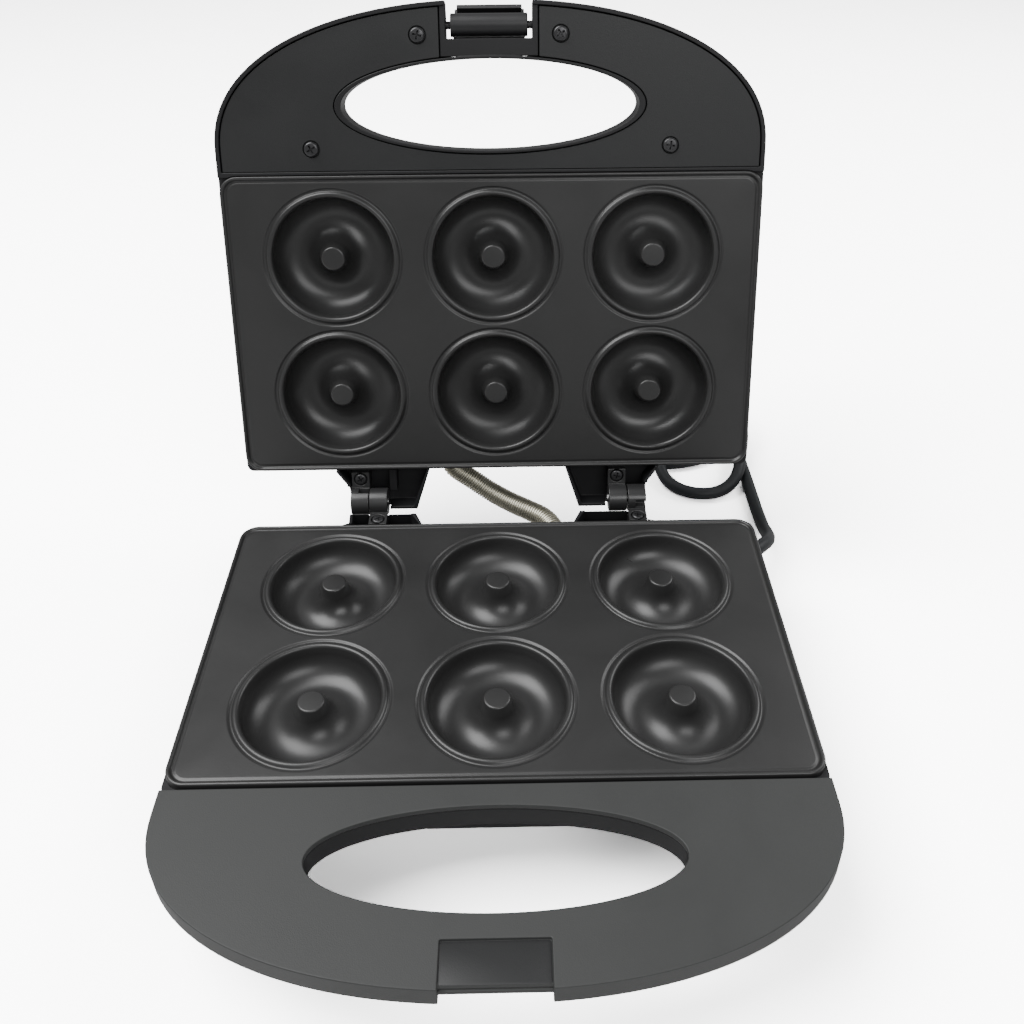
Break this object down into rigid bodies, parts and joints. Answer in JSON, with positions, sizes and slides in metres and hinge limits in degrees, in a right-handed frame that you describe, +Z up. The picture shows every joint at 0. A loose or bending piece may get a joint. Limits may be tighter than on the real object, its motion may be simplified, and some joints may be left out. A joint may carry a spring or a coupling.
{
  "type": "donut maker",
  "caption": "Hinged electric maker with matching non-stick mould plates, loop handles, a swing latch, a spring cable conduit and a mains cord.",
  "frame": {"origin": "bottom centre of the open maker's box, on the table, measured without the free cord", "axes": "+Z up, +X to the right seen from the handles, +Y towards the hinge"},
  "size_m": [0.2505, 0.3747, 0.2523],
  "materials": {
    "housing": "black moulded phenolic-look plastic, fine satin grain",
    "handle_cover": "charcoal grey moulded plastic, satin",
    "handle_panel": "dark charcoal moulded plastic, satin",
    "nonstick": "dark grey non-stick coating over aluminium, satin",
    "heater_steel": "drawn steel tube",
    "ceramic_ends": "unglazed ceramic",
    "reflector": "rolled sheet",
    "zinc_screws": "zinc plated",
    "black_screws": "blackened steel",
    "foot_rubber": "soft moulded rubber",
    "knuckle_plastic": "semi-gloss moulded plastic",
    "pin_steel": "ground steel",
    "fuse_metal": "plated metal case",
    "terminal_plastic": "ivory plastic",
    "wire_sleeve": "glass fibre sleeve",
    "cord_rubber": "dark grey rubber sheath",
    "tie_plastic": "black strap",
    "plug_brass": "brass blades",
    "conduit_steel": "close-wound spring wire",
    "lamp_glass": "neon lamp",
    "red_lens": "clear red plastic",
    "green_lens": "clear green plastic"
  },
  "bodies": {
    "base": {"base_shell": "housing", "base_handle_cover": "handle_cover", "base_plate": "nonstick", "base_heater": "heater_steel", "base_heater_ends": "ceramic_ends", "base_reflector": "reflector", "base_plate_screws": "zinc_screws", "base_handle_screws": "black_screws", "rubber_feet": "foot_rubber", "base_knuckles": "knuckle_plastic", "hinge_pins": "pin_steel", "base_knuckle_screws": "black_screws", "thermal_fuse": "fuse_metal", "terminal_block": "terminal_plastic", "base_wires": "wire_sleeve", "cord_gland": "cord_rubber", "cord_clamp": "terminal_plastic", "cord_clamp_screws": "zinc_screws", "power_cord": "cord_rubber", "cord_coil": "cord_rubber", "cord_tail": "cord_rubber", "cord_tie": "tie_plastic", "plug_body": "cord_rubber", "plug_pins": "plug_brass", "spring_conduit": "conduit_steel", "conduit_bush_base": "housing"},
    "lid": {"conduit_bush_lid": "housing", "lid_shell": "housing", "lid_handle_panel": "handle_panel", "lid_plate": "nonstick", "lid_heater": "heater_steel", "lid_heater_ends": "ceramic_ends", "lid_reflector": "reflector", "lid_plate_screws": "zinc_screws", "lid_handle_screws": "black_screws", "lid_knuckles": "knuckle_plastic", "lid_knuckle_screws": "black_screws", "thermostat": "fuse_metal", "thermostat_bracket": "reflector", "power_lamp": "lamp_glass", "ready_lamp": "lamp_glass", "power_lens": "red_lens", "ready_lens": "green_lens", "lid_wires": "wire_sleeve", "latch_pin": "pin_steel"},
    "latch": {"latch": "housing"}
  },
  "joints": [
    {"name": "lid_hinge", "type": "hinge", "parent": "base", "child": "lid", "pos_m": [0, 0.06674, 0.0485], "axis": [1, 0, 0], "range_deg": [0, 105.4], "deforming": ["spring_conduit"]},
    {"name": "latch_pivot", "type": "hinge", "parent": "lid", "child": "latch", "pos_m": [0, 0.12678, 0.242], "axis": [1, 0, 0], "range_deg": [0, 125]}
  ]
}
